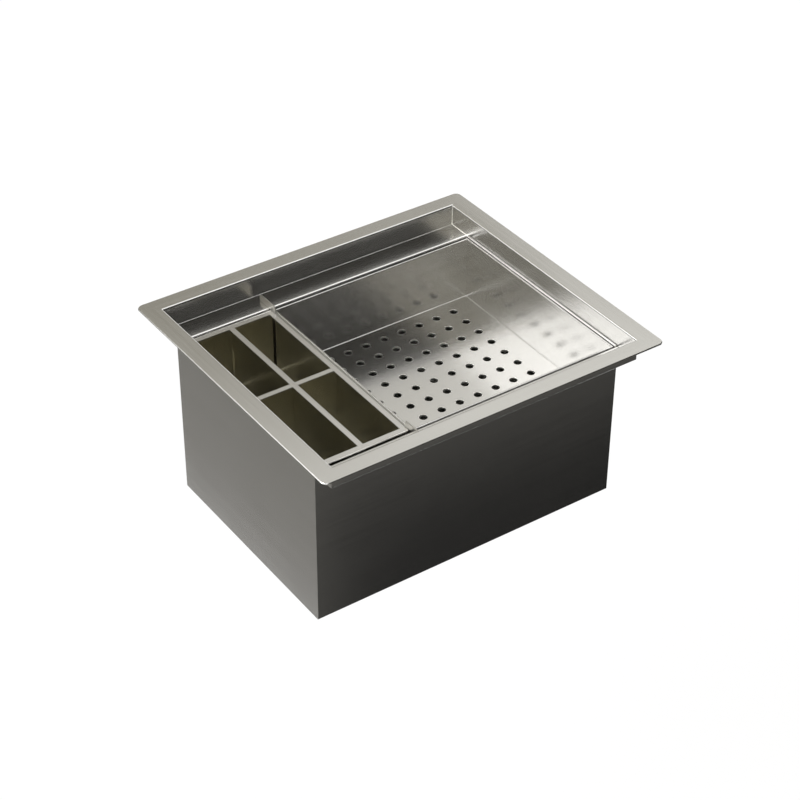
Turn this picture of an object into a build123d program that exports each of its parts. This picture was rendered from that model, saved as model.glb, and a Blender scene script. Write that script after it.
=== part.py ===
from build123d import *
import os

os.makedirs("parts", exist_ok=True)

# Drop-in wet channel: a welded stainless basin that hangs by its rim in a worktop
# cut-out, stepped to a ledge at the front and the rear. A utensil insert and a
# perforated tray stand side by side on rails inside it, with a divider plate
# between them, over a basket waste in the floor.
# Millimetres. X runs to the right, Y to the rear and Z up.
# The origin is the centre of the cut-out, on the worktop surface.

# Rim and the seal under it
rim_border_side = 22.8
rim_border_front = 21.3
rim_sheet = 1.5
rim_corner_radius = 7.5
rim_edge_break = 0.7
seal_thickness = 1.0
seal_width = 6.5
seal_setback = 2.0

# Opening between the inner faces of the upper walls
opening_length = 391.4
opening_depth = 337.4
fold_radius = 2.0
skirt_height = 4.2

# Stepped front and rear walls, end plates
wall_sheet = 1.2
end_sheet = 1.5
ledge_drop = 26.2
ledge_width = 31.1
step_inner_radius = 0.6
step_outer_radius = 2.4
basin_height = 226.4
foot_edge_radius = 1.0

# Clip rails welded round the outside, under the rim
clip_sheet = 1.2
clip_skirt_gap = 1.5
clip_web_height = 6.5
clip_reach = 7.5
clip_lip = 2.8
clip_bend_radius = 1.6
clip_end_gap = 20.0

# Guide strips on the end plates and rails that carry the insert and the tray
strip_sheet = 1.3
strip_height = 14.0
strip_end_gap = 0.8
strip_edge_break = 0.3
hang_depth = 80.6
rail_sheet = 1.2
rail_leg = 12.0
rail_bend_radius = 2.4
rail_end_gap = 15.0

# Basin floor, folded to fall to the waste
floor_sheet = 1.2
floor_fall = 4.0
waste_flat = 124.0
waste_x = 0.0
waste_y = 0.0
waste_hole_radius = 45.0

# Divider plate between insert and tray
divider_sheet = 1.5
divider_side_gap = 1.1
divider_depth = 60.0
ear_height = 7.4
ear_inset = 9.4
ear_length = 31.3
ear_slope_run = 2.4
ear_corner_radius = 2.4
ear_root_radius = 1.2
divider_foot_radius = 6.0

# Utensil insert
insert_strip_gap = 4.9
insert_divider_gap = 0.5
insert_side_gap = 3.1
insert_length = 110.6
grid_sheet = 2.5
side_bar = 6.3
end_bar = 7.2
centre_bar = 6.4
cross_bar = 6.1
insert_sheet = 1.0
insert_side_inset = 0.2
corner_slit = 3.0
insert_bend_radius = 1.5
partition_sheet = 1.2
partition_notch_drop = 28.0
partition_notch = 1.6
partition_corner = 2.5
insert_hole_radius = 4.0
insert_hole_side_count = 8
insert_hole_pitch_x = 22.0
insert_hole_pitch_y = 38.0
insert_hole_column_count = 2
insert_hole_row_count = 3

# Perforated tray
tray_divider_gap = 0.6
tray_strip_gap = 1.5
tray_front_gap = 0.9
tray_rear_gap = 3.9
tray_sheet = 1.1
tray_bend_radius = 1.2
tray_hem_height = 10.0
tray_hem_round = 0.9
drain_hole_radius = 5.0
drain_hole_side_count = 10
drain_hole_pitch = 25.0
drain_hole_column_count = 9
drain_hole_row_count = 10

# Basket waste
top_seal_thickness = 1.5
top_seal_width = 10.0
flange_radius = 56.0
flange_sheet = 1.5
mouth_chamfer = 0.8
cup_radius = 43.6
cup_sheet = 1.5
cup_depth = 46.0
cup_foot_chamfer = 4.0
outlet_radius = 23.9
outlet_sheet = 3.0
outlet_length = 28.0
under_seal_thickness = 3.0
under_seal_width = 9.5
slip_ring_thickness = 1.0
nut_thickness = 9.0
nut_wall = 8.0
nut_lug_count = 6
nut_lug_reach = 4.0
nut_lug_width = 9.0

# Lift-out strainer basket
stopper_radius = 27.0
stopper_thickness = 5.0
stopper_edge_chamfer = 0.8
basket_clearance = 1.4
basket_lip = 4.7
basket_foot_chamfer = 3.0
basket_sheet = 0.8
basket_height = 36.0
basket_floor_hole_radius = 2.5
basket_floor_hole_count = 10
basket_floor_hole_side_count = 8
basket_floor_hole_ring = 22.0
basket_slot_count = 10
basket_slot_width = 3.0
basket_slot_height = 16.0
basket_slot_drop = 18.0
post_radius = 4.0
knob_radius = 8.5
knob_height = 9.0
knob_crown = 3.0
knob_drop = 4.0

# Levels that several pieces share
rim_under = seal_thickness
rim_top = rim_under + rim_sheet
skirt_under = rim_top - skirt_height
ledge_top = rim_top - ledge_drop
rail_top = ledge_top - hang_depth
basin_under = rim_top - basin_height
floor_edge_top = basin_under + floor_sheet
floor_flat_top = floor_edge_top - floor_fall
floor_flat_under = floor_flat_top - floor_sheet
flange_under = floor_flat_top + top_seal_thickness
flange_top = flange_under + flange_sheet
cup_under = flange_under - cup_depth
seat_top = cup_under + cup_sheet
outlet_end = cup_under - outlet_length

# Plan sizes that several pieces share
rim_length = opening_length + 2 * rim_border_side
rim_depth = opening_depth + 2 * rim_border_front
opening_x = opening_length / 2
opening_y = opening_depth / 2
basin_y = opening_y - ledge_width
basin_depth = 2 * basin_y
end_outer_x = opening_x + end_sheet
wall_outer_y = opening_y + wall_sheet
strip_face_x = opening_x - strip_sheet
insert_left_x = -strip_face_x + insert_strip_gap
insert_x = insert_left_x + insert_length / 2
divider_left_x = insert_left_x + insert_length + insert_divider_gap
divider_right_x = divider_left_x + divider_sheet
tray_left_x = divider_right_x + tray_divider_gap
tray_right_x = strip_face_x - tray_strip_gap
tray_rear_y = basin_y - tray_rear_gap
tray_front_y = -basin_y + tray_front_gap

# Rim: flat flange with its inner edge folded down to meet the walls
with BuildPart() as rim_frame:
    with BuildSketch(Plane.XY.offset(rim_under)):
        RectangleRounded(rim_length, rim_depth, rim_corner_radius)
    extrude(amount=rim_sheet)
    with BuildSketch(Plane.XY.offset(skirt_under)):
        Rectangle(opening_length + 2 * rim_sheet, opening_depth + 2 * rim_sheet)
    extrude(amount=skirt_height)
    with BuildSketch(Plane.XY.offset(skirt_under)):
        Rectangle(opening_length, opening_depth)
    extrude(amount=skirt_height, mode=Mode.SUBTRACT)
    top_edges = rim_frame.faces().sort_by(Axis.Z)[-1]
    fillet(top_edges.inner_wires()[0].edges(), radius=fold_radius)
    top_edges = rim_frame.faces().sort_by(Axis.Z)[-1]
    chamfer(top_edges.outer_wire().edges(), length=rim_edge_break)
rim_frame.part.label = "rim_frame"
export_step(rim_frame.part, "parts/rim_frame.step")

# Foam seal stuck under the rim, set back from its edge
with BuildPart() as rim_seal:
    with BuildSketch(Plane.XY):
        RectangleRounded(
            rim_length - 2 * seal_setback,
            rim_depth - 2 * seal_setback,
            rim_corner_radius - seal_setback,
        )
        Rectangle(
            rim_length - 2 * (seal_setback + seal_width),
            rim_depth - 2 * (seal_setback + seal_width),
            mode=Mode.SUBTRACT,
        )
    extrude(amount=seal_thickness)
rim_seal.part.label = "rim_seal"
export_step(rim_seal.part, "parts/rim_seal.step")

# Rear wall: one folded sheet, upper wall, ledge and lower wall
with BuildPart() as rear_wall:
    with BuildSketch(Plane.YZ.offset(-opening_x)):
        with BuildLine():
            FilletPolyline(
                (opening_y, skirt_under),
                (opening_y, ledge_top),
                (basin_y, ledge_top),
                (basin_y, basin_under),
                radius=[step_inner_radius, step_outer_radius],
            )
            offset(amount=wall_sheet, side=Side.LEFT)
        make_face()
    extrude(amount=opening_length)
    foot_edge = rear_wall.edges().filter_by(Axis.X).group_by(Axis.Z)[0].sort_by(Axis.Y)[-1]
    fillet(foot_edge, radius=foot_edge_radius)
rear_wall.part.label = "rear_wall"
export_step(rear_wall.part, "parts/rear_wall.step")

# Front wall: the same fold, facing the other way
with BuildPart() as front_wall:
    mirror(rear_wall.part, about=Plane.XZ)
front_wall.part.label = "front_wall"
export_step(front_wall.part, "parts/front_wall.step")

# Right end plate: covers the ends of both folded walls and follows their step
with BuildPart() as right_end_plate:
    with BuildSketch(Plane.YZ.offset(opening_x)):
        with BuildLine():
            FilletPolyline(
                (wall_outer_y, skirt_under),
                (wall_outer_y, ledge_top - wall_sheet),
                (basin_y + wall_sheet, ledge_top - wall_sheet),
                (basin_y + wall_sheet, basin_under),
                (-basin_y - wall_sheet, basin_under),
                (-basin_y - wall_sheet, ledge_top - wall_sheet),
                (-wall_outer_y, ledge_top - wall_sheet),
                (-wall_outer_y, skirt_under),
                radius=[
                    step_inner_radius + wall_sheet,
                    step_outer_radius - wall_sheet,
                    foot_edge_radius,
                    foot_edge_radius,
                    step_outer_radius - wall_sheet,
                    step_inner_radius + wall_sheet,
                ],
            )
            Line((-wall_outer_y, skirt_under), (wall_outer_y, skirt_under))
        make_face()
    extrude(amount=end_sheet)
right_end_plate.part.label = "right_end_plate"
export_step(right_end_plate.part, "parts/right_end_plate.step")

# Left end plate
with BuildPart() as left_end_plate:
    mirror(right_end_plate.part, about=Plane.YZ)
left_end_plate.part.label = "left_end_plate"
export_step(left_end_plate.part, "parts/left_end_plate.step")

# Basin floor: four facets that fall to a flat round the waste
with BuildPart() as basin_floor:
    with BuildSketch(Plane.XY.offset(floor_edge_top)):
        Rectangle(opening_length, basin_depth)
    extrude(amount=-floor_sheet)
    for level, mode in ((floor_edge_top - floor_sheet, Mode.ADD), (floor_edge_top, Mode.SUBTRACT)):
        with Locations((0, 0, level - floor_fall / 2)):
            Wedge(
                opening_length,
                floor_fall,
                basin_depth,
                opening_x + waste_x - waste_flat / 2,
                basin_y + waste_y - waste_flat / 2,
                opening_x + waste_x + waste_flat / 2,
                basin_y + waste_y + waste_flat / 2,
                rotation=(-90, 0, 0),
                mode=mode,
            )
    with BuildSketch(Plane.XY.offset(floor_flat_under)):
        with Locations((waste_x, waste_y)):
            Circle(waste_hole_radius)
    extrude(amount=floor_sheet, mode=Mode.SUBTRACT)
basin_floor.part.label = "basin_floor"
export_step(basin_floor.part, "parts/basin_floor.step")

# Rear clip rail: hooked section that the fixing clips hang from
with BuildPart() as rear_clip_rail:
    with BuildSketch(Plane.YZ):
        with BuildLine():
            FilletPolyline(
                (wall_outer_y, skirt_under - clip_skirt_gap),
                (wall_outer_y, skirt_under - clip_skirt_gap - clip_web_height),
                (wall_outer_y + clip_reach, skirt_under - clip_skirt_gap - clip_web_height),
                (wall_outer_y + clip_reach, skirt_under - clip_skirt_gap - clip_web_height + clip_lip),
                radius=clip_bend_radius,
            )
            offset(amount=clip_sheet, side=Side.LEFT)
        make_face()
    extrude(amount=opening_x - clip_end_gap, both=True)
rear_clip_rail.part.label = "rear_clip_rail"
export_step(rear_clip_rail.part, "parts/rear_clip_rail.step")

# Front clip rail
with BuildPart() as front_clip_rail:
    mirror(rear_clip_rail.part, about=Plane.XZ)
front_clip_rail.part.label = "front_clip_rail"
export_step(front_clip_rail.part, "parts/front_clip_rail.step")

# Right clip rail: the same section on the end plate
with BuildPart() as right_clip_rail:
    with BuildSketch(Plane.XZ):
        with BuildLine():
            FilletPolyline(
                (end_outer_x, skirt_under - clip_skirt_gap),
                (end_outer_x, skirt_under - clip_skirt_gap - clip_web_height),
                (end_outer_x + clip_reach, skirt_under - clip_skirt_gap - clip_web_height),
                (end_outer_x + clip_reach, skirt_under - clip_skirt_gap - clip_web_height + clip_lip),
                radius=clip_bend_radius,
            )
            offset(amount=clip_sheet, side=Side.LEFT)
        make_face()
    extrude(amount=opening_y - clip_end_gap, both=True)
right_clip_rail.part.label = "right_clip_rail"
export_step(right_clip_rail.part, "parts/right_clip_rail.step")

# Left clip rail
with BuildPart() as left_clip_rail:
    mirror(right_clip_rail.part, about=Plane.YZ)
left_clip_rail.part.label = "left_clip_rail"
export_step(left_clip_rail.part, "parts/left_clip_rail.step")

# Right guide strip: flat bar on the end plate, its top level with the ledges
with BuildPart() as right_guide_strip:
    with BuildSketch(Plane.YZ.offset(strip_face_x)):
        with Locations((0, ledge_top - strip_height / 2)):
            Rectangle(basin_depth - 2 * strip_end_gap, strip_height)
    extrude(amount=strip_sheet)
    strip_edge = right_guide_strip.edges().filter_by(Axis.Y).group_by(Axis.Z)[-1].sort_by(Axis.X)[0]
    chamfer(strip_edge, length=strip_edge_break)
right_guide_strip.part.label = "right_guide_strip"
export_step(right_guide_strip.part, "parts/right_guide_strip.step")

# Left guide strip
with BuildPart() as left_guide_strip:
    mirror(right_guide_strip.part, about=Plane.YZ)
left_guide_strip.part.label = "left_guide_strip"
export_step(left_guide_strip.part, "parts/left_guide_strip.step")

# Rear support rail: angle on the lower wall that carries the insert and the tray
with BuildPart() as rear_support_rail:
    with BuildSketch(Plane.YZ):
        with BuildLine():
            FilletPolyline(
                (basin_y, rail_top - rail_leg),
                (basin_y, rail_top),
                (basin_y - rail_leg, rail_top),
                radius=rail_bend_radius,
            )
            offset(amount=rail_sheet, side=Side.LEFT)
        make_face()
    extrude(amount=opening_x - rail_end_gap, both=True)
rear_support_rail.part.label = "rear_support_rail"
export_step(rear_support_rail.part, "parts/rear_support_rail.step")

# Front support rail
with BuildPart() as front_support_rail:
    mirror(rear_support_rail.part, about=Plane.XZ)
front_support_rail.part.label = "front_support_rail"
export_step(front_support_rail.part, "parts/front_support_rail.step")

# Divider plate: hangs across the basin, with raised ears that lie on the ledges
ear_end_y = opening_y - ear_inset
ear_start_y = ear_end_y - ear_length
divider_y = basin_y - divider_side_gap
divider_under = ledge_top - divider_depth
with BuildPart() as divider_plate:
    with BuildSketch(Plane.YZ.offset(divider_left_x)):
        with BuildLine():
            FilletPolyline(
                (0, divider_under),
                (divider_y, divider_under),
                (divider_y, ledge_top),
                (ear_end_y, ledge_top),
                (ear_end_y, ledge_top + ear_height),
                (ear_start_y, ledge_top + ear_height),
                (ear_start_y - ear_slope_run, ledge_top),
                (0, ledge_top),
                radius=[divider_foot_radius, 0, 0, ear_corner_radius, ear_root_radius, ear_root_radius],
            )
            Line((0, ledge_top), (0, divider_under))
        make_face()
        mirror(about=Plane.YZ)
    extrude(amount=divider_sheet)
divider_plate.part.label = "divider_plate"
export_step(divider_plate.part, "parts/divider_plate.step")

# Perforated tray: one folded sheet with a turned hem round its mouth
tray_length = tray_right_x - tray_left_x
tray_depth = tray_rear_y - tray_front_y
tray_x = (tray_left_x + tray_right_x) / 2
tray_y = (tray_front_y + tray_rear_y) / 2
with BuildPart() as perforated_tray:
    with BuildSketch(Plane.XY.offset(rail_top)):
        with Locations((tray_x, tray_y)):
            Rectangle(tray_length - 2 * tray_sheet, tray_depth - 2 * tray_sheet)
    extrude(amount=hang_depth)
    fillet(perforated_tray.edges().group_by(Axis.Z)[0], radius=tray_bend_radius + tray_sheet)
    offset(amount=-tray_sheet, openings=perforated_tray.faces().sort_by(Axis.Z)[-1])
    with BuildSketch(Plane.XY.offset(ledge_top)):
        with Locations((tray_x, tray_y)):
            Rectangle(tray_length, tray_depth)
            Rectangle(tray_length - 2 * tray_sheet, tray_depth - 2 * tray_sheet, mode=Mode.SUBTRACT)
    extrude(amount=-tray_hem_height)
    fillet(perforated_tray.faces().sort_by(Axis.Z)[-1].edges(), radius=tray_hem_round)
    with BuildSketch(Plane.XY.offset(rail_top)):
        with Locations((tray_x, tray_y)):
            with GridLocations(
                drain_hole_pitch, drain_hole_pitch, drain_hole_column_count, drain_hole_row_count
            ):
                RegularPolygon(drain_hole_radius, drain_hole_side_count)
    extrude(amount=tray_sheet, mode=Mode.SUBTRACT)
perforated_tray.part.label = "perforated_tray"
export_step(perforated_tray.part, "parts/perforated_tray.step")

# Insert grid: flat top plate with four openings
insert_depth = basin_depth - 2 * insert_side_gap
cell_length = (insert_length - centre_bar - 2 * side_bar) / 2
cell_depth = (insert_depth - cross_bar - 2 * end_bar) / 2
grid_under = ledge_top - grid_sheet
with BuildPart() as insert_grid:
    with BuildSketch(Plane.XY.offset(grid_under)):
        with Locations((insert_x, 0)):
            Rectangle(insert_length, insert_depth)
            with GridLocations(cell_length + centre_bar, cell_depth + cross_bar, 2, 2):
                Rectangle(cell_length, cell_depth, mode=Mode.SUBTRACT)
    extrude(amount=grid_sheet)
insert_grid.part.label = "insert_grid"
export_step(insert_grid.part, "parts/insert_grid.step")

# Insert box: one sheet folded up on four sides, its side walls slit at the corners
box_length = insert_length - 2 * insert_side_inset
box_depth = insert_depth - 2 * (end_bar - insert_sheet)
box_height = grid_under - rail_top
with BuildPart() as insert_box:
    with BuildSketch(Plane.XY.offset(rail_top)):
        with Locations((insert_x, 0)):
            Rectangle(box_length, box_depth)
    extrude(amount=box_height)
    fold_edges = insert_box.edges().group_by(Axis.Z)[0]
    fillet(fold_edges, radius=insert_bend_radius + insert_sheet)
    offset(amount=-insert_sheet, openings=insert_box.faces().sort_by(Axis.Z)[-1])
    with BuildSketch(Plane.XY.offset(rail_top)):
        with Locations((insert_x, 0)):
            with GridLocations(box_length, box_depth, 2, 2):
                Rectangle(2 * insert_sheet, 2 * (insert_sheet + corner_slit))
    extrude(amount=box_height, mode=Mode.SUBTRACT)
    with BuildSketch(Plane.XY.offset(rail_top)):
        with Locations((insert_x, 0)):
            with GridLocations(cell_length + centre_bar, cell_depth + cross_bar, 2, 2):
                with GridLocations(
                    insert_hole_pitch_x, insert_hole_pitch_y, insert_hole_column_count, insert_hole_row_count
                ):
                    RegularPolygon(insert_hole_radius, insert_hole_side_count)
    extrude(amount=insert_sheet, mode=Mode.SUBTRACT)
insert_box.part.label = "insert_box"
export_step(insert_box.part, "parts/insert_box.step")

# Long partition: stands on the insert's floor, its ends cut back below the notch
partition_under = rail_top + insert_sheet
notch_top = ledge_top - partition_notch_drop
inner_length = box_length - 2 * insert_sheet
inner_depth = box_depth - 2 * insert_sheet
with BuildPart() as long_partition:
    with BuildSketch(Plane.YZ.offset(insert_x - partition_sheet / 2)):
        with BuildLine():
            Polyline(
                (0, partition_under),
                (inner_depth / 2 - insert_bend_radius - partition_notch, partition_under),
                (inner_depth / 2 - insert_bend_radius - partition_notch, notch_top),
                (inner_depth / 2, notch_top),
                (inner_depth / 2, grid_under),
                (0, grid_under),
                close=True,
            )
        make_face()
        mirror(about=Plane.YZ)
    extrude(amount=partition_sheet)
long_partition.part.label = "long_partition"
export_step(long_partition.part, "parts/long_partition.step")

# Cross partitions: one plate on each side of the long one, lower corners cut off
cross_inner_x = partition_sheet / 2
cross_outer_x = inner_length / 2
with BuildPart() as cross_partitions:
    with BuildSketch(Plane((insert_x, partition_sheet / 2, 0), x_dir=(1, 0, 0), z_dir=(0, -1, 0))):
        with BuildLine():
            Polyline(
                (cross_inner_x, grid_under),
                (cross_inner_x, partition_under),
                (cross_outer_x - partition_corner, partition_under),
                (cross_outer_x, partition_under + partition_corner),
                (cross_outer_x, grid_under),
                close=True,
            )
        make_face()
        mirror(about=Plane.YZ)
    extrude(amount=partition_sheet)
cross_partitions.part.label = "cross_partitions"
export_step(cross_partitions.part, "parts/cross_partitions.step")

# Waste cup: flange and cup, turned about the waste's axis
waste_plane = Plane((waste_x, waste_y, 0), x_dir=(1, 0, 0), z_dir=(0, -1, 0))
waste_axis = Axis((waste_x, waste_y, 0), (0, 0, 1))
cup_bore_radius = cup_radius - cup_sheet
outlet_bore_radius = outlet_radius - outlet_sheet
with BuildPart() as waste_cup:
    with BuildSketch(waste_plane):
        with BuildLine():
            Polyline(
                (flange_radius, flange_under),
                (cup_radius, flange_under),
                (cup_radius, cup_under + cup_foot_chamfer),
                (cup_radius - cup_foot_chamfer, cup_under),
                (outlet_bore_radius, cup_under),
                (outlet_bore_radius, seat_top),
                (cup_bore_radius - cup_foot_chamfer + cup_sheet / 2, seat_top),
                (cup_bore_radius, seat_top + cup_foot_chamfer - cup_sheet / 2),
                (cup_bore_radius, flange_top - mouth_chamfer),
                (cup_bore_radius + mouth_chamfer, flange_top),
                (flange_radius, flange_top),
                close=True,
            )
        make_face()
    revolve(axis=waste_axis)
waste_cup.part.label = "waste_cup"
export_step(waste_cup.part, "parts/waste_cup.step")

# Waste outlet: threaded spigot welded under the cup
with BuildPart() as waste_outlet:
    with BuildSketch(Plane.XY.offset(outlet_end)):
        with Locations((waste_x, waste_y)):
            Circle(outlet_radius)
            Circle(outlet_bore_radius, mode=Mode.SUBTRACT)
    extrude(amount=outlet_length)
waste_outlet.part.label = "waste_outlet"
export_step(waste_outlet.part, "parts/waste_outlet.step")

# Seal between the flange and the floor
with BuildPart() as waste_top_seal:
    with BuildSketch(Plane.XY.offset(floor_flat_top)):
        with Locations((waste_x, waste_y)):
            Circle(waste_hole_radius + top_seal_width)
            Circle(waste_hole_radius, mode=Mode.SUBTRACT)
    extrude(amount=top_seal_thickness)
waste_top_seal.part.label = "waste_top_seal"
export_step(waste_top_seal.part, "parts/waste_top_seal.step")

# Rubber washer under the floor
under_seal_bottom = floor_flat_under - under_seal_thickness
with BuildPart() as waste_under_seal:
    with BuildSketch(Plane.XY.offset(under_seal_bottom)):
        with Locations((waste_x, waste_y)):
            Circle(cup_radius + under_seal_width)
            Circle(cup_radius, mode=Mode.SUBTRACT)
    extrude(amount=under_seal_thickness)
waste_under_seal.part.label = "waste_under_seal"
export_step(waste_under_seal.part, "parts/waste_under_seal.step")

# Slip ring that lets the nut turn without twisting the washer
slip_ring_bottom = under_seal_bottom - slip_ring_thickness
with BuildPart() as waste_slip_ring:
    with BuildSketch(Plane.XY.offset(slip_ring_bottom)):
        with Locations((waste_x, waste_y)):
            Circle(cup_radius + under_seal_width)
            Circle(cup_radius, mode=Mode.SUBTRACT)
    extrude(amount=slip_ring_thickness)
waste_slip_ring.part.label = "waste_slip_ring"
export_step(waste_slip_ring.part, "parts/waste_slip_ring.step")

# Lock nut: ring with lugs for a basin wrench
with BuildPart() as waste_lock_nut:
    with BuildSketch(Plane.XY.offset(slip_ring_bottom - nut_thickness)):
        with Locations((waste_x, waste_y)):
            Circle(cup_radius + nut_wall)
            with PolarLocations(cup_radius + nut_wall, nut_lug_count):
                Rectangle(2 * nut_lug_reach, nut_lug_width)
            Circle(cup_radius, mode=Mode.SUBTRACT)
    extrude(amount=nut_thickness)
waste_lock_nut.part.label = "waste_lock_nut"
export_step(waste_lock_nut.part, "parts/waste_lock_nut.step")

# Rubber stopper ring on the foot of the basket's post
stopper_top = seat_top + stopper_thickness
with BuildPart() as basket_stopper:
    with BuildSketch(Plane.XY.offset(seat_top)):
        with Locations((waste_x, waste_y)):
            Circle(stopper_radius)
            Circle(post_radius, mode=Mode.SUBTRACT)
    extrude(amount=stopper_thickness)
    seat_edge = basket_stopper.faces().sort_by(Axis.Z)[0].outer_wire().edges()
    chamfer(seat_edge, length=stopper_edge_chamfer)
basket_stopper.part.label = "basket_stopper"
export_step(basket_stopper.part, "parts/basket_stopper.step")

# Strainer basket: cup with a turned-out mouth, slots and floor holes
basket_top = stopper_top + basket_height
basket_mouth_radius = cup_bore_radius - basket_clearance
basket_radius = basket_mouth_radius - basket_lip
with BuildPart() as basket_cup:
    with BuildSketch(waste_plane):
        with BuildLine():
            Polyline(
                (post_radius, stopper_top),
                (basket_radius - basket_foot_chamfer, stopper_top),
                (basket_radius, stopper_top + basket_foot_chamfer),
                (basket_radius, basket_top - basket_sheet),
                (basket_mouth_radius, basket_top - basket_sheet),
                (basket_mouth_radius, basket_top),
                (basket_radius - basket_sheet, basket_top),
                (basket_radius - basket_sheet, stopper_top + basket_foot_chamfer + basket_sheet / 2),
                (basket_radius - basket_foot_chamfer - basket_sheet / 2, stopper_top + basket_sheet),
                (post_radius, stopper_top + basket_sheet),
                close=True,
            )
        make_face()
    revolve(axis=waste_axis)
    with BuildSketch(Plane.XY.offset(stopper_top)):
        with Locations((waste_x, waste_y)):
            with PolarLocations(basket_floor_hole_ring, basket_floor_hole_count):
                RegularPolygon(basket_floor_hole_radius, basket_floor_hole_side_count)
    extrude(amount=basket_sheet, mode=Mode.SUBTRACT)
    with Locations((waste_x, waste_y, basket_top - basket_slot_drop)):
        with PolarLocations(basket_radius, basket_slot_count):
            Box(4 * basket_sheet, basket_slot_width, basket_slot_height, mode=Mode.SUBTRACT)
basket_cup.part.label = "basket_cup"
export_step(basket_cup.part, "parts/basket_cup.step")

# Post with a round knob, by which the basket is lifted
knob_top = basket_top - knob_drop
with BuildPart() as basket_post:
    with BuildSketch(waste_plane):
        with BuildLine():
            Polyline(
                (0, seat_top),
                (post_radius, seat_top),
                (post_radius, knob_top - knob_height),
                (knob_radius, knob_top - knob_height),
                (knob_radius, knob_top - knob_crown),
                (knob_radius - knob_crown, knob_top),
                (0, knob_top),
                close=True,
            )
        make_face()
    revolve(axis=waste_axis)
basket_post.part.label = "basket_post"
export_step(basket_post.part, "parts/basket_post.step")
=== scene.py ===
import bpy, bmesh, math
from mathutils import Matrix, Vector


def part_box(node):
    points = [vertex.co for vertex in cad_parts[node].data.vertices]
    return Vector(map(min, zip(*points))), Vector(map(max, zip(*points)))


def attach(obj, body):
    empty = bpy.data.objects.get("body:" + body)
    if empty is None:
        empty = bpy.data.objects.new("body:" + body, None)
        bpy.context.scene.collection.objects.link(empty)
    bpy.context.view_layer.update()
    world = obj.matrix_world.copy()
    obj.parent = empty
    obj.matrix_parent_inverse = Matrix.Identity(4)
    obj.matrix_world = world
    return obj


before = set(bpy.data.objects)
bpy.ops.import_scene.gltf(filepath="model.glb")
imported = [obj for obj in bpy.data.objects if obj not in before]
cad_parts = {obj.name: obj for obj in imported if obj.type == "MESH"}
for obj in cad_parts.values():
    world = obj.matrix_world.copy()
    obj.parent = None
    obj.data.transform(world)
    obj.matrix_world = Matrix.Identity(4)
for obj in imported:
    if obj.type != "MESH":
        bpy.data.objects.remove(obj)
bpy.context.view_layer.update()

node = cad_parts


# Folded sheet: every wall, rail and tray is stainless steel sheet, brushed along
# its length after folding and welding. The finish is one bright metal whose fine
# scratches run one way, with faint cloudy patches where the belt pressed harder.
class Tone:
    """A socket with arithmetic, so that a finish can be written as an expression."""

    def __init__(self, tree, socket):
        self.tree, self.socket = tree, socket

    def node(self, kind, settings, inputs, out=0):
        made = self.tree.nodes.new("ShaderNode" + kind)
        for key, value in settings.items():
            if key == "stops":
                for stop in made.color_ramp.elements[1:-1]:
                    made.color_ramp.elements.remove(stop)
                while len(made.color_ramp.elements) < len(value):
                    made.color_ramp.elements.new(0.5)
                for stop, (place, shade) in zip(made.color_ramp.elements, value):
                    stop.position, stop.color = place, (*shade, 1)
            else:
                setattr(made, key, value)
        for key, value in inputs.items():
            if isinstance(value, Tone):
                self.tree.links.new(value.socket, made.inputs[key])
            else:
                made.inputs[key].default_value = value
        return Tone(self.tree, made.outputs[out])

    def _math(self, word, first, second=0.0):
        return self.node("Math", {"operation": word}, {0: first, 1: second})

    def __add__(self, other):
        return self._math("ADD", self, other)

    def __sub__(self, other):
        return self._math("SUBTRACT", self, other)

    def __rsub__(self, other):
        return self._math("SUBTRACT", other, self)

    def __mul__(self, other):
        return self._math("MULTIPLY", self, other)

    def __gt__(self, other):
        return self._math("GREATER_THAN", self, other)

    def __abs__(self):
        return self._math("ABSOLUTE", self)

    __radd__, __rmul__ = __add__, __mul__


def finish_on(name):
    """A new material: its surface shader and a Tone to start expressions from."""
    made = bpy.data.materials.new(name)
    made.use_nodes = True
    shader = made.node_tree.nodes["Principled BSDF"]
    place = made.node_tree.nodes.new("ShaderNodeTexCoord")
    return made, shader, Tone(made.node_tree, place.outputs["Object"])


def join(tone, shader, name):
    """Feeds one of the shader's inputs."""
    tone.tree.links.new(tone.socket, shader.inputs[name])


def varied(tone, spread):
    """A noise moved from round a half to round nothing, and scaled."""
    return (tone - 0.5) * spread


def scratched(place, grain, fine, long):
    """Noise drawn out along the grain: finer across it, longer along it."""
    scale = tuple(long if axis == grain else fine for axis in "XYZ")
    drawn = place.node("Mapping", {}, {"Vector": place, "Scale": scale})
    return place.node("TexNoise", {}, {"Vector": drawn, "Scale": 1.0, "Detail": 3.0, "Roughness": 0.55})


def mitred(place, length_wise, cross_wise):
    """The lengthwise pattern, and the crosswise one beyond the rim's corner mitres."""
    low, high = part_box("rim_frame")
    ends = ((high[0] - low[0]) - (high[1] - low[1])) / 2
    x, y = (place.node("SeparateXYZ", {}, {0: place}, out=k) for k in (0, 1))
    beyond = abs(x) - abs(y) > ends
    return length_wise * (1 - beyond) + cross_wise * beyond


scratch_fine, scratch_long, scratch_depth, scratch_strength = 3200, 45, 0.00004, 0.03
streak_fine, streak_long, cloud_scale = 260, 3, 14.0
steel_tone, steel_contrast = (0.665, 0.660, 0.648), 0.04


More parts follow.
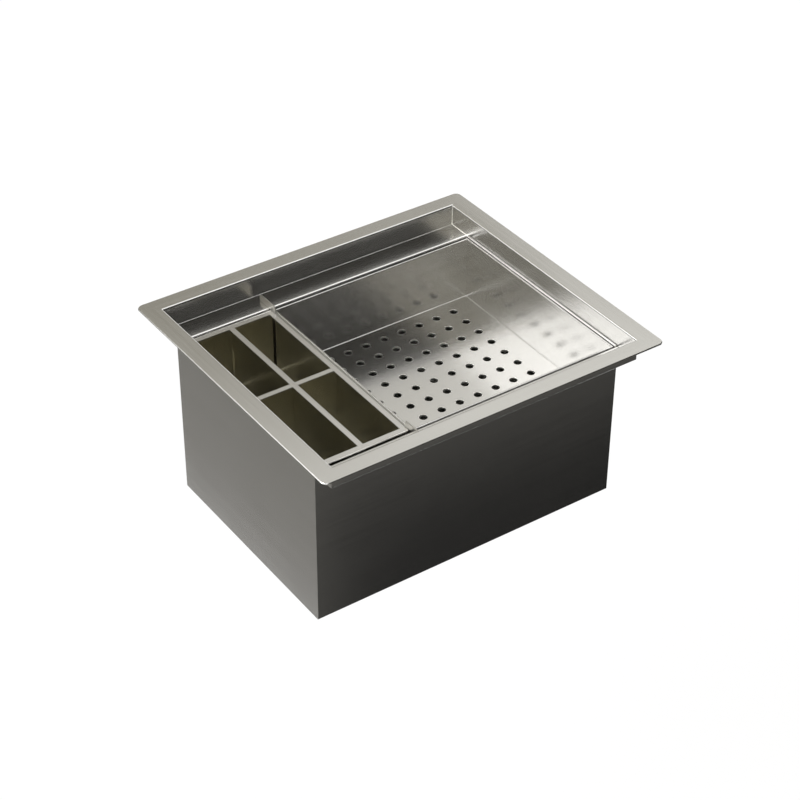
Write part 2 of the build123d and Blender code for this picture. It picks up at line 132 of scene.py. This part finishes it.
def brushed_sheet(name, grains, colour=steel_tone, rough=0.22):
    """Brushed stainless sheet. grains names the scratches' axis, or the two axes of a mitred frame."""
    made, shader, place = finish_on(name)
    scratches = [scratched(place, grain, scratch_fine, scratch_long) for grain in grains]
    streaks = [scratched(place, grain, streak_fine, streak_long) for grain in grains]
    scratches = mitred(place, *scratches) if len(grains) > 1 else scratches[0]
    streaks = mitred(place, *streaks) if len(grains) > 1 else streaks[0]
    cloudy = {"Vector": place, "Scale": cloud_scale, "Detail": 3.0, "Roughness": 0.5}
    clouds = place.node("TexNoise", {}, cloudy)
    worn = varied(streaks, 0.06) + varied(clouds, 0.05) + varied(scratches, 0.04) + rough
    join(worn, shader, "Roughness")
    darker = tuple(c * (1 - steel_contrast) for c in colour)
    lighter = tuple(c * (1 + steel_contrast) for c in colour)
    marks = scratches * 0.4 + streaks * 0.6
    tint = place.node("ValToRGB", {"stops": [(0.3, darker), (0.7, lighter)]}, {"Fac": marks})
    join(tint, shader, "Base Color")
    relief = {"Strength": scratch_strength, "Distance": scratch_depth, "Height": scratches}
    join(place.node("Bump", {}, relief), shader, "Normal")
    shader.inputs["Metallic"].default_value = 1.0
    return made


def coat(piece, material):
    """Gives a piece one material."""
    piece.data.materials.clear()
    piece.data.materials.append(material)


along_x = brushed_sheet("sheet_brushed_lengthwise", "X")
along_y = brushed_sheet("sheet_brushed_crosswise", "Y")
coat(node["rim_frame"], brushed_sheet("rim_brushed_round", "XY", colour=(0.672, 0.668, 0.656), rough=0.23))
# The divider takes a darker copy of the brushed steel: painted shade, where it stands deep between the
# insert and the tray.
coat(node["divider_plate"], brushed_sheet("divider_painted_shade", "Y", colour=(0.44, 0.43, 0.40), rough=0.31))
# The insert box and its partitions take a darker, yellowed copy of the steel: painted warm shade for the
# deep compartments.
box_steel_warm_shade = brushed_sheet("insert_box_warm_shade", "Z", colour=(0.62, 0.60, 0.51))
for name in ("insert_box", "cross_partitions", "long_partition"):
    coat(node[name], box_steel_warm_shade)
for name in (
    "rear_wall", "front_wall", "basin_floor", "rear_clip_rail", "front_clip_rail",
    "rear_support_rail", "front_support_rail", "perforated_tray",
):
    coat(node[name], along_x)
for name in (
    "left_end_plate", "right_end_plate", "left_clip_rail", "right_clip_rail",
    "left_guide_strip", "right_guide_strip", "insert_grid",
):
    coat(node[name], along_y)


# Seam beads: the folded walls are welded to the end plates inside, in one run down
# the upper wall, along the ledge and down the basin. The tray's corners are closed
# the same way. Each bead is a fine round line of stainless steel, left bright.
def grained(shader, noise, tones, rough, spread, ends=(0.3, 0.7)):
    """One noise varies a surface's colour between two tones and its roughness round a middle."""
    stops = list(zip(ends, tones))
    join(noise.node("ValToRGB", {"stops": stops}, {"Fac": noise}), shader, "Base Color")
    join(varied(noise, spread) + rough, shader, "Roughness")


def raised(shader, noise, strength, depth):
    """The noise as relief, its depth in metres."""
    relief = {"Strength": strength, "Distance": depth, "Height": noise}
    join(noise.node("Bump", {}, relief), shader, "Normal")


bright_bead, shader, place = finish_on("weld_bead")
ripple = place.node("TexNoise", {}, {"Vector": place, "Scale": 1500.0, "Detail": 2.0})
grained(shader, ripple, ((0.62, 0.61, 0.57), (0.70, 0.69, 0.65)), 0.20, 0.2)
raised(shader, ripple, 0.25, 0.0001)
shader.inputs["Metallic"].default_value = 1.0


def seam_beads(name, body, radius, runs, finish=bright_bead):
    """One piece of round beads, one along each run of points."""
    line = bpy.data.curves.new(name, "CURVE")
    line.dimensions = "3D"
    line.bevel_depth, line.bevel_resolution, line.use_fill_caps = radius, 2, True
    for run in runs:
        spline = line.splines.new("POLY")
        spline.points.add(len(run) - 1)
        for point, where in zip(spline.points, run):
            point.co = (*where, 1)
    piece = bpy.data.objects.new(name, line)
    bpy.context.scene.collection.objects.link(piece)
    coat(piece, finish)
    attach(piece, body)


seam_x, upper_y, lower_y = 0.1957, 0.1687, 0.1376
seam_top, ledge_level, seam_foot = 0.0005, -0.0237, -0.2195
wall_bead_radius, tray_bead_radius = 0.00045, 0.0004
seam_beads("end_seam_beads", "sink", wall_bead_radius, [
    [
        (side * seam_x, end * upper_y, seam_top),
        (side * seam_x, end * upper_y, ledge_level),
        (side * seam_x, end * lower_y, ledge_level),
        (side * seam_x, end * lower_y, seam_foot),
    ]
    for side in (-1, 1) for end in (-1, 1)
])
tray_low, tray_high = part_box("perforated_tray")
tray_wall, seam_drop, seam_rise = 0.0011, 0.012, 0.003
tray_seam_top, tray_seam_foot = tray_high[2] - seam_drop, tray_low[2] + seam_rise
seam_beads("tray_corner_beads", "tray", tray_bead_radius, [
    [(x, y, tray_seam_top), (x, y, tray_seam_foot)]
    for x in (tray_low[0] + tray_wall, tray_high[0] - tray_wall)
    for y in (tray_low[1] + tray_wall, tray_high[1] - tray_wall)
])


# Tray hole collars: each drain hole is drawn down as it is punched, which rolls its
# edge in and leaves a short collar under the same sheet. The collars take lighter steel than the sheet, a
# painted highlight round each hole's edge.
hole_pitch, hole_columns, hole_rows = 0.025, 9, 10
collar_sides = 28
collar_profile = (
    # radius and height above the tray's floor, in millimetres, from the rolled edge down and back up outside
    (5.30, -0.08), (5.15, 0.02), (4.98, 0.03), (4.84, -0.05), (4.72, -0.24), (4.66, -0.60), (4.64, -2.0),
    (4.95, -2.0), (5.15, -0.50),
)
tray_floor_top = tray_low[2] + tray_wall
middle_x, middle_y = (tray_low[0] + tray_high[0]) / 2, (tray_low[1] + tray_high[1]) / 2
shape = bmesh.new()
corners = [shape.verts.new((r / 1000, 0, tray_floor_top + z / 1000)) for r, z in collar_profile]
outline = [shape.edges.new((a, b)) for a, b in zip(corners, corners[1:] + corners[:1])]
bmesh.ops.spin(
    shape, geom=corners + outline, cent=(0, 0, 0), axis=(0, 0, 1),
    angle=math.tau, steps=collar_sides, use_merge=True,
)
bmesh.ops.recalc_face_normals(shape, faces=shape.faces)
one_collar = shape.verts[:] + shape.edges[:] + shape.faces[:]
first_x = middle_x - hole_pitch * (hole_columns - 1) / 2
first_y = middle_y - hole_pitch * (hole_rows - 1) / 2
bmesh.ops.translate(shape, verts=shape.verts, vec=(first_x, first_y, 0))
for number in range(1, hole_columns * hole_rows):
    column, row = number % hole_columns, number // hole_columns
    copied = bmesh.ops.duplicate(shape, geom=one_collar)["geom"]
    bmesh.ops.translate(
        shape, verts=[v for v in copied if isinstance(v, bmesh.types.BMVert)],
        vec=(column * hole_pitch, row * hole_pitch, 0),
    )
for face in shape.faces:
    face.smooth = True
mesh = bpy.data.meshes.new("tray_hole_collars")
shape.to_mesh(mesh)
shape.free()
hole_collars = bpy.data.objects.new("tray_hole_collars", mesh)
bpy.context.scene.collection.objects.link(hole_collars)
# The collars' lighter steel is a painted highlight on the holes' edges.
coat(hole_collars, brushed_sheet("collar_painted_highlight", "X", colour=(0.82, 0.81, 0.77), rough=0.36))
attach(hole_collars, "tray")


# Insert's edge round: the frame is laser-cut from thick sheet and its outer edge is
# ground to a full round by hand. The round takes lighter steel than the brushed face, a painted highlight
# along the edge.
edge_highlight_finish, shader, place = finish_on("edge_round_painted_highlight")
marks = place.node("TexNoise", {}, {"Vector": place, "Scale": 1100.0, "Detail": 2.0})
# Lighter steel tones on the round: painted highlight.
grained(shader, marks, ((0.70, 0.69, 0.66), (0.77, 0.76, 0.73)), 0.24, 0.15)
raised(shader, marks, 0.15, 0.00005)
shader.inputs["Metallic"].default_value = 1.0
grid_low, grid_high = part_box("insert_grid")
round_radius, round_inset, round_drop = 0.00125, 0.00055, 0.0010
round_level = grid_high[2] - round_drop
edge_x, edge_y = grid_low[0] + round_inset, grid_high[1] - round_inset
edge_end = grid_high[0] - round_radius
seam_beads("insert_edge_round", "insert", round_radius, [[
    (edge_end, -edge_y, round_level), (edge_x, -edge_y, round_level),
    (edge_x, edge_y, round_level), (edge_end, edge_y, round_level),
]], finish=edge_highlight_finish)


# Insert's corner tabs: the box is folded from one sheet, and the edges of its end
# walls turn round behind the slits in its side walls. They are thin and tacked on, and
# coloured near black: painted shade, so the slits read as dark shadowed lines.
tab_painted_shade, shader, place = finish_on("tab_slit_painted_shade")
tab_shade_noise = place.node("TexNoise", {}, {"Vector": place, "Scale": 700.0, "Detail": 3.0})
# Near-black tones: painted shade in the slits.
grained(shader, tab_shade_noise, ((0.05, 0.04, 0.03), (0.11, 0.09, 0.07)), 0.55, 0.2)
shader.inputs["Metallic"].default_value = 1.0
tab_thick, tab_reach, tab_edge, tab_rise = 0.00035, 0.0046, 0.00008, 0.0035
box_low, box_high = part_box("insert_box")
tab_foot = box_low[2] + tab_rise
tab_size = (tab_thick, tab_reach, box_high[2] - tab_foot)
tab_middle_z = (box_high[2] + tab_foot) / 2
shape = bmesh.new()
for x_face, out in ((box_low[0], -1), (box_high[0], 1)):
    for y_face, back in ((box_low[1], 1), (box_high[1], -1)):
        tab = bmesh.ops.create_cube(shape, size=1.0)["verts"]
        bmesh.ops.scale(shape, verts=tab, vec=tab_size)
        tab_middle = (x_face + out * tab_thick / 2, y_face + back * tab_reach / 2, tab_middle_z)
        bmesh.ops.translate(shape, verts=tab, vec=tab_middle)
bmesh.ops.bevel(
    shape, geom=shape.edges[:], offset=tab_edge, affect="EDGES", segments=1, profile=0.5, material=-1,
)
mesh = bpy.data.meshes.new("insert_corner_tabs")
shape.to_mesh(mesh)
shape.free()
corner_tabs = bpy.data.objects.new("insert_corner_tabs", mesh)
bpy.context.scene.collection.objects.link(corner_tabs)
coat(corner_tabs, tab_painted_shade)
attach(corner_tabs, "insert")


# Turned waste and strainer basket: pressed and turned stainless steel, satin,
# with its scratches running round the axis.
turned, shader, place = finish_on("turned_satin")
stacked = place.node("Mapping", {}, {"Vector": place, "Scale": (40, 40, 900)})
rings = place.node("TexNoise", {}, {"Vector": stacked, "Scale": 1.0, "Detail": 3.0})
grained(shader, rings, ((0.52, 0.52, 0.505), (0.60, 0.60, 0.585)), 0.26, 0.12)
shader.inputs["Metallic"].default_value = 1.0
for name in ("waste_cup", "waste_outlet", "waste_lock_nut", "basket_cup", "basket_post"):
    coat(node[name], turned)


# Seals: closed-cell foam under the rim, black rubber in the waste, and a pale
# pressed-fibre ring that lets the nut turn on its washer.
rubber_pieces = ("waste_top_seal", "waste_under_seal", "basket_stopper")
for label, tones, grit, names in (
    ("seal_foam", ((0.10, 0.10, 0.10), (0.16, 0.16, 0.155)), 1400.0, ("rim_seal",)),
    ("seal_rubber", ((0.025, 0.025, 0.026), (0.045, 0.045, 0.046)), 500.0, rubber_pieces),
    ("slip_ring_fibre", ((0.50, 0.44, 0.33), (0.62, 0.56, 0.44)), 900.0, ("waste_slip_ring",)),
):
    made, shader, place = finish_on(label)
    grain = place.node("TexNoise", {}, {"Vector": place, "Scale": grit, "Detail": 3.0})
    grained(shader, grain, tones, 0.72, 0.2, ends=(0.35, 0.65))
    raised(shader, grain, 0.3, 0.0003)
    for name in names:
        coat(node[name], made)


# Floor: a wide white sheet well below the basin, which hangs as it does in a
# worktop. It shows white and keeps the basin's soft shadow.
def stage_sheet(name, corner, opposite, level):
    """A flat level sheet, its normal up."""
    shape = bmesh.new()
    bmesh.ops.create_grid(shape, x_segments=1, y_segments=1, size=0.5)
    size = (opposite[0] - corner[0], opposite[1] - corner[1], 1)
    middle = ((corner[0] + opposite[0]) / 2, (corner[1] + opposite[1]) / 2, level)
    bmesh.ops.scale(shape, verts=shape.verts, vec=size)
    bmesh.ops.translate(shape, verts=shape.verts, vec=middle)
    mesh = bpy.data.meshes.new(name)
    shape.to_mesh(mesh)
    shape.free()
    made = bpy.data.objects.new(name, mesh)
    bpy.context.scene.collection.objects.link(made)
    return made


floor_level = -0.75
floor_reach = 14.0
floor_glow = 0.92
floor_corner, floor_opposite = (-floor_reach, -floor_reach), (floor_reach, floor_reach)
studio_floor = stage_sheet("studio_floor", floor_corner, floor_opposite, floor_level)
made, shader, place = finish_on("floor_white")
shader.inputs["Base Color"].default_value = (0.9, 0.9, 0.9, 1)
shader.inputs["Roughness"].default_value = 1.0
shader.inputs["Specular IOR Level"].default_value = 0.0
ray_kinds = ("Is Camera Ray", "Is Glossy Ray", "Is Transmission Ray")
seen = sum(place.node("LightPath", {}, {}, out=kind) for kind in ray_kinds)
matt = Tone(place.tree, shader.outputs["BSDF"])
white = place.node("Emission", {}, {"Color": (1, 1, 1, 1), "Strength": 1.0})
shine = place.node("MixShader", {}, {"Fac": seen * floor_glow, 1: matt, 2: white})
place.tree.links.new(shine.socket, place.tree.nodes["Material Output"].inputs["Surface"])
coat(studio_floor, made)


# Cards: two sheets low at the front and the left, seen by the steel alone, which
# the outside faces reflect instead of the white floor. Their grey is a painted reflection
# that sets the shade of the basin's outside faces; the front one is darkest near the basin and lighter to
# its left and away from it.
card_level = -0.60
reflected_shade_tint = (1.0, 0.97, 0.90)
left_card_reflected_shade = (0.16, 0.155, 0.144, 1)


def fading(tone, light_end, dark_end, shade):
    """A shade that falls to nothing from one place to the other."""
    ends = {"From Min": light_end, "From Max": dark_end, "To Min": shade, "To Max": 0.0}
    return tone.node("MapRange", {}, {"Value": tone, **ends})


for name, corner, opposite in (
    ("card_front", (-0.6, -0.20), (2.2, -3.0)),
    ("card_left", (-0.38, -0.6), (-2.8, 2.4)),
):
    card = stage_sheet(name, corner, opposite, card_level)
    made, shader, place = finish_on(name + "_paint")
    # The front card's ramp is a painted reflection: it paints the front face lighter to the upper left and
    # darker low and to the right.
    if name == "card_front":
        across, away = (place.node("SeparateXYZ", {}, {0: place}, out=k) for k in (0, 1))
        to_left = fading(across + away * 0.6, -0.60, -0.20, 0.20)
        to_front = fading(away, -1.0, -0.61, 0.11)
        reflected_shade = place.node("Math", {"operation": "MAXIMUM"}, {0: to_left, 1: to_front})
        paint = place.node("CombineColor", {}, {k: reflected_shade * tint for k, tint in enumerate(reflected_shade_tint)})
        join(paint, shader, "Base Color")
    else:
        # The left card's flat grey is a painted reflection, setting the left face's shade.
        shader.inputs["Base Color"].default_value = left_card_reflected_shade
    shader.inputs["Roughness"].default_value = 1.0
    coat(card, made)
    for kind in ("visible_camera", "visible_diffuse", "visible_shadow"):
        setattr(card, kind, False)


# Studio light: two large soft panels stand at the left, one low and one high. Weaker
# ones are overhead, at the rear and low at the front, four small ones light the folds
# and edges, and the rest is a dim room whose warm tint three of the weak ones share.
world = bpy.data.worlds.new("studio")
bpy.context.scene.world = world
world.use_nodes = True
tree = world.node_tree
direction = Tone(tree, tree.nodes.new("ShaderNodeTexCoord").outputs["Generated"])


def smooth_between(tone, low, high):
    """0 below low, 1 above high, and a smooth rise between."""
    ends = {"From Min": low, "From Max": high}
    return tone.node("MapRange", {"interpolation_type": "SMOOTHSTEP"}, {"Value": tone, **ends})


room_glow = 0.03
room_tint = (1.0, 0.94, 0.76)
panels = (
    # direction, degrees to its soft edge and to its core, strength, and whether it has the room's tint
    ((-0.99, 0.00, 0.14), 40, 5, 4.2, False),
    ((-0.76, 0.20, 0.62), 38, 5, 4.6, False),
    ((0.50, 0.45, 0.74), 20, 3, 1.1, False),
    ((0.09, 0.00, 1.00), 42, 5, 0.85, False),
    ((-0.27, 0.74, 0.62), 38, 5, 0.30, True),
    ((0.45, 0.65, 0.62), 38, 5, 0.25, True),
    ((-0.46, -0.87, 0.16), 40, 5, 0.75, True),
    ((-0.22, -0.44, 0.87), 22, 4, 1.60, False),
    ((0.46, -0.10, 0.88), 16, 4, 1.70, False),
    ((0.70, 0.70, 0.14), 18, 4, 1.60, False),
)
glow = {False: 0.0, True: room_glow}
for centre, edge, core, strength, tinted in panels:
    length = math.hypot(*centre)
    unit = tuple(v / length for v in centre)
    toward = direction.node("VectorMath", {"operation": "DOT_PRODUCT"}, {0: direction, 1: unit}, out="Value")
    panel = smooth_between(toward, math.cos(math.radians(edge)), math.cos(math.radians(core))) * strength
    glow[tinted] = panel + glow[tinted]
channels = {k: glow[True] * tint + glow[False] for k, tint in enumerate(room_tint)}
sky = tree.nodes["Background"]
tree.links.new(direction.node("CombineColor", {}, channels).socket, sky.inputs["Color"])
sky.inputs["Strength"].default_value = 1.0


# Camera: a long lens from the left front, looking down into the basin.
lens = bpy.data.cameras.new("camera")
lens.lens, lens.sensor_width = 94.31, 36.0
lens.clip_start, lens.clip_end = 0.05, 60.0
camera = bpy.data.objects.new("camera", lens)
camera.location = (-1.07484, -1.54568, 1.28681)
camera.rotation_euler = tuple(math.radians(v) for v in (53.6292, -0.2743, -34.7096))
bpy.context.scene.collection.objects.link(camera)
bpy.context.scene.camera = camera
bpy.context.scene.view_settings.view_transform = "Standard"
